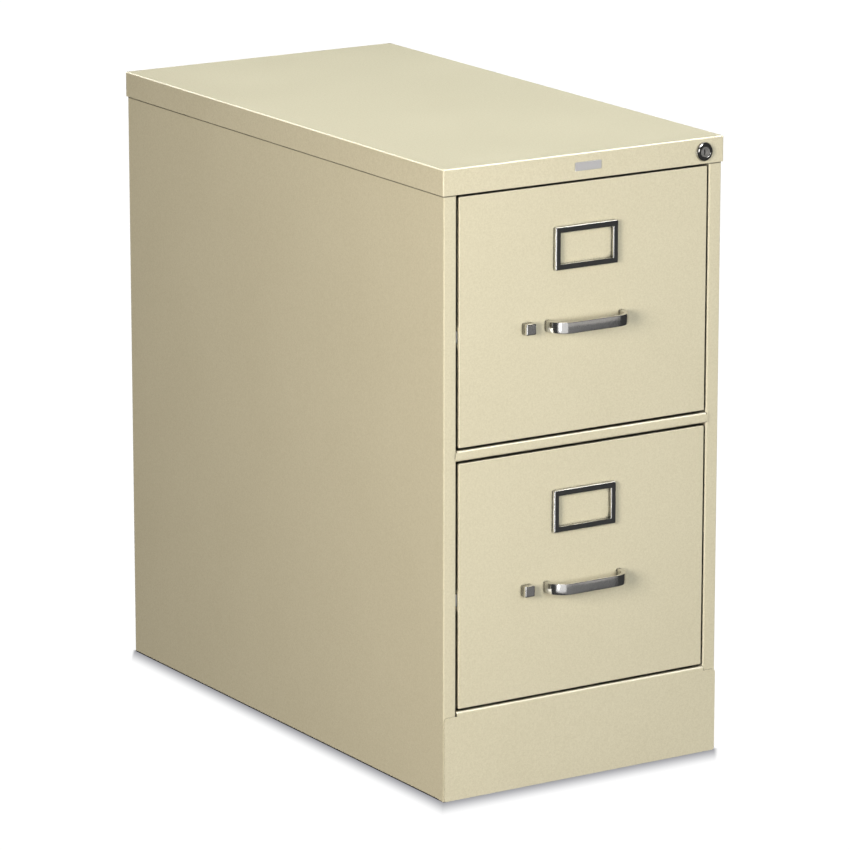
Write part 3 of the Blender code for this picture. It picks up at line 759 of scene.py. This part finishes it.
def makeLiner(drawer):
    low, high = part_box(f"{drawer}_drawer_liner")
    notch, x0, x1, z0, z1 = drawerSheet["linerNotch"], low.x, high.x, low.z, high.z
    outline = [(x1, z0), (x1 - notch, z0), (x0 + notch, z0), (x0, z0), (x0, z0 + notch), (x0, z1 - notch),
               (x0, z1), (x0 + notch, z1), (x1 - notch, z1), (x1, z1), (x1, z1 - notch), (x1, z0 + notch)]
    flange = [(0, low.y - high.y, 0)]
    mesh = foldedMesh([(x, high.y, z) for x, z in outline], {edge: flange for edge in (1, 4, 7, 10)})
    liner = sheetPiece(f"{drawer}DrawerLiner", mesh, paint, drawerSheet["front"], drawerSheet["linerBend"])
    settleOn(liner, f"{drawer}_drawer", "putty_paint", f"{drawer}_drawer_liner")


def makeTray(drawer):
    low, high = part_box(f"{drawer}_drawer_tray")
    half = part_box(f"{drawer}_right_drawer_rail")[0].x - seamGap
    reach, floor, top = high.x, low.z, high.z - drawerSheet["tray"]
    profile = [(reach, top), (half, top), (half, floor), (-half, floor), (-half, top), (-reach, top)]
    slotHalf, deep = followerSlot["half"], followerSlot["deep"]
    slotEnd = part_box(f"{drawer}_follower")[0].y + followerSlot["to"]
    slot = boxMesh((-slotHalf, low.y + followerSlot["from"], floor - deep), (slotHalf, slotEnd, floor + deep))
    mesh = stripMesh([(x, low.y, z) for x, z in profile], (0, high.y - low.y, 0))
    tray = sheetPiece(f"{drawer}DrawerTray", mesh, paint, drawerSheet["tray"], drawerSheet["trayBend"], [slot])
    settleOn(tray, f"{drawer}_drawer", "putty_paint", f"{drawer}_drawer_tray")


def makeDrawerBack(drawer):
    low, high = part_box(f"{drawer}_drawer_back")
    half, y, corner = high.x, high.y, drawerSheet["backCorner"]
    outline = [(half, y, low.z), (-half, y, low.z), (-half, y, high.z - corner), (corner - half, y, high.z),
               (half - corner, y, high.z), (half, y, high.z - corner)]
    flange, topFlange = [(0, -drawerSheet["backFlange"], 0)], [(0, -drawerSheet["backTop"], 0)]
    mesh = foldedMesh(outline, {1: flange, 3: topFlange, 5: flange})
    back = sheetPiece(f"{drawer}DrawerBack", mesh, paint, drawerSheet["tray"], drawerSheet["backBend"])
    settleOn(back, f"{drawer}_drawer", "putty_paint", f"{drawer}_drawer_back")


handle = {
    "bend": 0.0222,
    "strap": 0.0032,
    "foot": 0.0068,
    "corner": 0.0007,
    "crown": 0.0005,
    "bow": 0.0006,
    "bendSteps": 14,
    "gripSteps": 12,
}


# depth and height round the strap, its outer face slightly crowned
def gripSection(thick, tall):
    corner, crown, half = handle["corner"], handle["crown"], tall / 2
    flat = half - corner
    inset = crown * (flat / half) ** 2
    section = [(crown * (z / half) ** 2, z) for z in [flat * (i / 4 - 1) for i in range(1, 8)]]
    outer, inner = inset + corner, thick - corner
    for depth, z, start in ((outer, flat, 180), (inner, flat, 90), (inner, -flat, 0), (outer, -flat, -90)):
        section += arc((depth, z), corner, start, start - 90, 4)
    return section


def makeHandle(drawer):
    low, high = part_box(f"{drawer}_handle")
    half, back, reach, middle = high.x, high.y, high.y - low.y, (low.z + high.z) / 2
    bend, strap, steps, grip = handle["bend"], handle["strap"], handle["bendSteps"], handle["gripSteps"]
    foot, inner = half - handle["foot"], bend - strap
    outside = [(half, back)] + arc((half - bend, low.y + bend), bend, 0, -90, steps)
    inside = [(foot, back)] + arc((foot - inner, low.y + bend), inner, 0, -90, steps)
    spread = [1 - 2 * i / grip for i in range(1, grip)]
    outside += [(t * (half - bend), low.y) for t in spread] + [(-x, y) for x, y in reversed(outside)]
    inside += [(t * (foot - inner), low.y + strap) for t in spread] + [(-x, y) for x, y in reversed(inside)]
    rings = []
    for outer, within in zip(outside, inside):
        start, across = Vector(outer), Vector(within) - Vector(outer)
        start.y += handle["bow"] * (start.x / half) ** 2 * (back - start.y) / reach  # the ends stand back
        thick = across.length
        ring = []
        for depth, z in gripSection(thick, high.z - low.z):
            point = start + across * (depth / thick)
            ring.append((point.x, min(point.y, back), middle + z))
        rings.append(ring)
    pull = newPiece(f"{drawer}Handle", loftMesh(rings, capped=True), chrome)
    evenShade(pull)
    settleOn(pull, f"{drawer}_drawer", "chrome", f"{drawer}_handle")


labelHolder = {"band": 0.0070, "corner": 0.0016, "leastCorner": 0.0006}


def makeLabelHolder(drawer):
    low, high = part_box(f"{drawer}_label_holder")
    centre = ((low.x + high.x) / 2, (low.z + high.z) / 2)
    wide, tall, deep = (high.x - low.x) / 2, (high.z - low.z) / 2, high.y - low.y
    band, corner = labelHolder["band"], labelHolder["corner"]
    profile = [(0, 1), (0, 0.36), (0.0001, 0.24), (0.0004, 0.12), (0.0008, 0.05), (0.0013, 0.01),
               (0.0019, 0), (band * 0.5, 0), (band - 0.0010, 0.01), (band - 0.0005, 0.05),
               (band - 0.0002, 0.11), (band, 0.20), (band, 1)]  # inset, and share of the depth
    rings = []
    for inset, back in profile:
        radius = max(corner - inset * 0.6, labelHolder["leastCorner"])
        rings.append(roundedRing(wide - inset, tall - inset, radius, low.y + back * deep, centre))
    holder = newPiece(f"{drawer}LabelHolder", loftMesh(rings, ringClosed=True), darkChrome)
    evenShade(holder)
    settleOn(holder, f"{drawer}_drawer", "chrome", f"{drawer}_label_holder")


latchButton = {
    "deep": 0.0102,
    "edge": 0.0017,
    "corner": 0.0014,
    "stemFrom": 0.0008,
    "stemWide": 0.0040,
    "stemHalf": 0.0030,
    "stemInside": 0.002,
    "stemEdge": 0.0003,
}


def makeLatchButton(drawer):
    low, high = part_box(f"{drawer}_latch_button")
    back, middle = low.y + latchButton["deep"], (low.z + high.z) / 2
    centre, wide, tall = ((low.x + high.x) / 2, middle), (high.x - low.x) / 2, (high.z - low.z) / 2
    edge, corner = latchButton["edge"], latchButton["corner"]
    rings = [roundedRing(wide, tall, corner, back, centre)]
    for turn in range(0, 91, 18):
        inset, rise = edge * (1 - math.cos(math.radians(turn))), edge * (1 - math.sin(math.radians(turn)))
        rings.append(roundedRing(wide - inset, tall - inset, corner, low.y + rise, centre))
    button = newPiece(f"{drawer}LatchButton", loftMesh(rings, capped=True), chrome)
    evenShade(button)
    settleOn(button, f"{drawer}_latch", "chrome", f"{drawer}_latch_button")
    left, half = low.x + latchButton["stemFrom"], latchButton["stemHalf"]
    mesh = boxMesh((left, back - latchButton["stemInside"], middle - half),
                   (left + latchButton["stemWide"], high.y, middle + half))
    stem = solidPiece(f"{drawer}LatchStem", mesh, zinc, latchButton["stemEdge"])
    settleOn(stem, f"{drawer}_latch", "chrome")


rivets = {"places": (0.045, 0.230, 0.430, 0.620), "radius": 0.0042, "height": 0.0016}


def makeRivets(drawer):
    low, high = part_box(f"{drawer}_right_drawer_rail")
    inside, z = low.x - seamGap - drawerSheet["tray"], (low.z + high.z) / 2
    for side, sign in sides.items():
        places = [(sign * inside, low.y + step, z) for step in rivets["places"]]
        heads = domes(f"{drawer}{side.title()}RailRivets", places, (-sign, 0, 0),
                      rivets["radius"], rivets["height"], zinc)
        settleOn(heads, f"{drawer}_drawer", "zinc_steel")


for drawer in drawers:
    makeDrawerFront(drawer)
    makeLiner(drawer)
    makeTray(drawer)
    makeDrawerBack(drawer)
    makeHandle(drawer)
    makeLabelHolder(drawer)
    makeLatchButton(drawer)
    makeRivets(drawer)
print("drawers dressed")


# the slides: rolled steel sections with balls in their cages
slide = {
    "cabinet_rail": {"body": "case", "steel": 0.0012, "webOutside": True},
    "outer_cage": {"body": "outer_cages", "steel": 0.0008, "webOutside": True},
    "middle_rail": {"body": "middle_rails", "steel": 0.0012, "webOutside": True},
    "inner_cage": {"body": "inner_cages", "steel": 0.0008, "webOutside": True},
    "drawer_rail": {"body": "drawer", "steel": 0.0012, "webOutside": False},
}
slideEdge = {"bend": 0.0004, "rim": 0.00015}  # the bend is over and above the steel
balls = {"spacing": 0.029, "from": 0.014, "gap": 0.00005, "rings": 8, "segments": 14}


def slideBody(drawer, kind):
    body = slide[kind]["body"]
    return body if body == "case" else f"{drawer}_{body}"


def slideName(drawer, side, kind):
    return f"{drawer}{side.title()}" + kind.title().replace("_", "")


def makeRail(drawer, side, kind):
    node = f"{drawer}_{side}_{kind}"
    low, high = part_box(node)
    sign = sides[side]
    outer, inner = (high.x, low.x) if sign > 0 else (low.x, high.x)
    web, tips = (outer, inner) if slide[kind]["webOutside"] else (inner, outer)
    profile = [(tips, high.z), (web, high.z), (web, low.z), (tips, low.z)]
    if web < tips:
        profile.reverse()
    steel = slide[kind]["steel"]
    mesh = stripMesh([(x, low.y, z) for x, z in profile], (0, high.y - low.y, 0))
    rail = sheetPiece(slideName(drawer, side, kind), mesh, zinc, steel,
                      steel + slideEdge["bend"], rim=slideEdge["rim"])
    settleOn(rail, slideBody(drawer, kind), "zinc_steel", node)


def makeBalls(drawer, side, cage, outerKind, innerKind):
    low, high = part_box(f"{drawer}_{side}_{cage}")
    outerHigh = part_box(f"{drawer}_{side}_{outerKind}")[1].z - slide[outerKind]["steel"]
    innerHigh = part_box(f"{drawer}_{side}_{innerKind}")[1].z
    x, middle = (low.x + high.x) / 2, (low.z + high.z) / 2
    radius = (outerHigh - innerHigh) / 2 - balls["gap"]
    rise = (outerHigh + innerHigh) / 2 - middle
    mesh = bmesh.new()
    count = int((high.y - low.y - 2 * balls["from"]) / balls["spacing"]) + 1
    for i in range(count):
        y = low.y + balls["from"] + i * balls["spacing"]
        for sign in (-1, 1):
            place = Matrix.Translation((x, y, middle + sign * rise))
            bmesh.ops.create_uvsphere(mesh, u_segments=balls["segments"], v_segments=balls["rings"],
                                      radius=radius, matrix=place)
    row = newPiece(slideName(drawer, side, cage) + "Balls", mesh, chrome)
    settleOn(row, slideBody(drawer, cage), "zinc_steel")


for drawer in drawers:
    for side in sides:
        for kind in slide:
            makeRail(drawer, side, kind)
        makeBalls(drawer, side, "outer_cage", "cabinet_rail", "middle_rail")
        makeBalls(drawer, side, "inner_cage", "middle_rail", "drawer_rail")
print("slides made")


# what keeps its solid's shape gets its finish
for node, piece in nodes.items():
    if not piece.hide_render:
        finish = paint if node in ("top_rail", "base_rear_channel") else zinc
        piece.data.materials.clear()
        piece.data.materials.append(finish)


# the studio
studio = {
    "camera": (-3.283, -5.213, 1.8905),
    "yaw": -0.5628,
    "pitch": 0.2457,
    "lens": 224.27,
    "sensor": 36,
    "farthest": 50,
    "aim": (0, 0, 0.4),
    "ambient": 0.10,
    "mirrored": 0.06,
    "backdrop": 1.05,
}
softBoxes = {  # they light the paint and stay out of the chrome
    "leftSoft": {"at": (-2.2, -1.6, 1.05), "size": 0.9, "power": (61.5, 58.5, 54.6)},
    "frontSoft": {"at": (-0.2, -3.0, 1.0), "size": 1.2, "power": (39.5, 41.4, 44.0)},
    "topSoft": {"at": (0, -0.2, 3.0), "size": 0.5, "power": (53, 55.6, 57.5)},
    "rightSoft": {"at": (2.44, -2.05, 0.8), "size": 1.2, "power": (14, 13.5, 12.5)},
    "farSoft": {"at": (2.9, 0.3, 0.45), "size": 0.9, "power": (34, 33.5, 32)},
    "rearSoft": {"at": (0.3, 2.8, 0.95), "size": 1.2, "power": (50, 49, 45.5)},
}
paintCards = {  # they show on the rounded edges of the paint only
    "overCard": {"at": (1.25, -1.0, 2.65), "size": 1.25, "power": (165, 165, 165)},
    "backCard": {"at": (-0.7, 1.9, 1.85), "size": 0.9, "power": (34, 34, 33)},
}
cornerCards = {  # as the last, but not on the left panel, whose whole face would catch it
    "sideCard": {"at": (-2.26, -1.25, -0.13), "size": 0.65, "tall": 1.2, "power": (54, 54, 53)},
}
plateCards = {  # they show in the plated parts but the lock's housing
    "leftCard": {"at": (-1.75, -2.85, 0.05), "size": 3.4, "tall": 2.2, "power": (21.5, 21.5, 21.7)},
    "streakCard": {"at": (-1.6, -1.7, 0.35), "size": 0.3, "tall": 1.2, "power": (6, 6, 6.1)},
    "crownCard": {"at": (-0.9, -1.6, 2.0), "size": 1.3, "power": (20, 20, 20.5)},
}
gripCards = {  # they show in the handles, the buttons and the key plug
    "gripHigh": {"at": (2.54, -9.0, 0.35), "size": 6.7, "tall": 2.8, "power": (29, 28.2, 27.4)},
    "gripLow": {"at": (2.54, -9.0, -2.85), "size": 6.7, "tall": 3.5, "power": (13.5, 13.5, 13.7)},
}
lockCards = {  # they show in the lock's housing
    "lockCrown": {"at": (-0.22, -1.3, 2.4), "size": 1.3, "power": (40, 40, 40)},
    "lockSpot": {"at": (-0.90, -2.30, 0.98), "size": 0.8, "power": (11, 11, 11)},
}


def makeCamera():
    data = bpy.data.cameras.new("camera")
    data.lens = studio["lens"]
    data.sensor_width = studio["sensor"]
    data.clip_end = studio["farthest"]
    camera = bpy.data.objects.new("camera", data)
    camera.location = studio["camera"]
    camera.rotation_euler = (math.pi / 2 - studio["pitch"], 0, studio["yaw"])
    bpy.context.scene.collection.objects.link(camera)
    bpy.context.scene.camera = camera


def makeLight(name, lamp, shownOn=None):
    data = bpy.data.lights.new(name, "AREA")
    data.shape = "RECTANGLE"
    data.size = lamp["size"]
    data.size_y = lamp.get("tall", lamp["size"])
    data.energy = max(lamp["power"])
    data.color = [part / data.energy for part in lamp["power"]]
    light = bpy.data.objects.new(name, data)
    light.location = lamp["at"]
    aim = Vector(studio["aim"]) - Vector(lamp["at"])
    light.rotation_euler = aim.to_track_quat("-Z", "Y").to_euler()
    light.visible_camera = False
    light.visible_diffuse = shownOn is None
    light.visible_glossy = shownOn is not None
    light.light_linking.receiver_collection = shownOn
    bpy.context.scene.collection.objects.link(light)


# the pieces of these finishes, as one group for a light to show on
def gather(name, finishes, skipped):
    group = bpy.data.collections.new(name)
    for piece in bpy.data.objects:
        if piece.type == "MESH" and piece.data.materials and piece.data.materials[0] in finishes:
            if piece.name not in skipped:
                group.objects.link(piece)
    return group


def makeWorld():
    world = bpy.data.worlds.new("studio")
    world.use_nodes = True
    bpy.context.scene.world = world
    tree = world.node_tree
    tree.nodes.clear()
    room = None
    for level, ray in (("ambient", None), ("mirrored", "Is Glossy Ray"), ("backdrop", "Is Camera Ray")):
        glow = addNode(tree, "Background", None, {"Color": (studio[level],) * 3})
        if ray:
            seen = addNode(tree, "LightPath", out=ray)
            glow = addNode(tree, "MixShader", None, {0: seen, 1: room, 2: glow})
        room = glow
    feed(tree, tree.nodes.new("ShaderNodeOutputWorld").inputs["Surface"], room)


floorShade = {
    "half": 6,
    "drop": 0.0004,
    "toward": (0.56, 0.83),
    "length": 0.056,
    "blur": 0.008,
    "fade": -0.25,  # below 0 the shade starts part way to light
    "dark": (0.26, 0.26, 0.285),
    "light": (1.04, 1.04, 1.04),
    "under": (0.01, 0.01, 0.01),
}


def makeFloor():
    mesh = bmesh.new()
    bmesh.ops.create_grid(mesh, size=floorShade["half"])
    white = Finish("whiteFloor", Base_Color=(0, 0, 0), Roughness=1, Specular_IOR_Level=0, Emission_Strength=1)
    across, along = (white.node("SeparateXYZ", None, {"Vector": white.place()}, axis) for axis in "XY")
    # painted shadow: the floor's glow darkens near the cabinet, in a soft shadow falling to its front and left
    leanX, leanY = floorShade["toward"]
    reach = atLeast(atLeast((-bodyHalf - across) / leanX, (postY - along) / leanY), 0)
    pastX = atLeast(across + reach * leanX - bodyHalf, 0) / floorShade["blur"]
    pastY = atLeast(along + reach * leanY - rearY, 0) / floorShade["blur"]
    reach = reach / floorShade["length"]
    away = (reach * reach + pastX * pastX + pastY * pastY) ** 0.5
    lit = smoothStep(white, away, floorShade["fade"], 1)
    shade = white.blend(lit, floorShade["dark"], floorShade["light"])
    # painted shade: near black inside the cabinet's footprint
    covered = white.node("Math", {"operation": "GREATER_THAN"}, {0: away, 1: 0.0001})
    white.drive("Emission Color", white.blend(covered, floorShade["under"], shade))
    floor = newPiece("floor", mesh, white.material)
    floor.location.z = -floorShade["drop"]
    floor.visible_diffuse = False
    floor.visible_glossy = False
    floor.visible_shadow = False


makeCamera()
for name, lamp in softBoxes.items():
    makeLight(name, lamp)
shows = {  # cards, the finishes they show on, the pieces they skip
    "painted": (paintCards, (paint,), ()),
    "cornered": (cornerCards, (paint,), ("leftSidePanel",)),
    "plated": (plateCards, (chrome, darkChrome, zinc, brushed), ()),
    "gripped": (gripCards, (chrome, plugNickel), ()),
    "lockHousing": (lockCards, (nickel,), ()),
}
for group, (cards, finishes, skipped) in shows.items():
    shownOn = gather(group, finishes, skipped)
    for name, lamp in cards.items():
        makeLight(name, lamp, shownOn)
makeWorld()
makeFloor()
bpy.context.scene.view_settings.view_transform = "Standard"
print("studio ready")
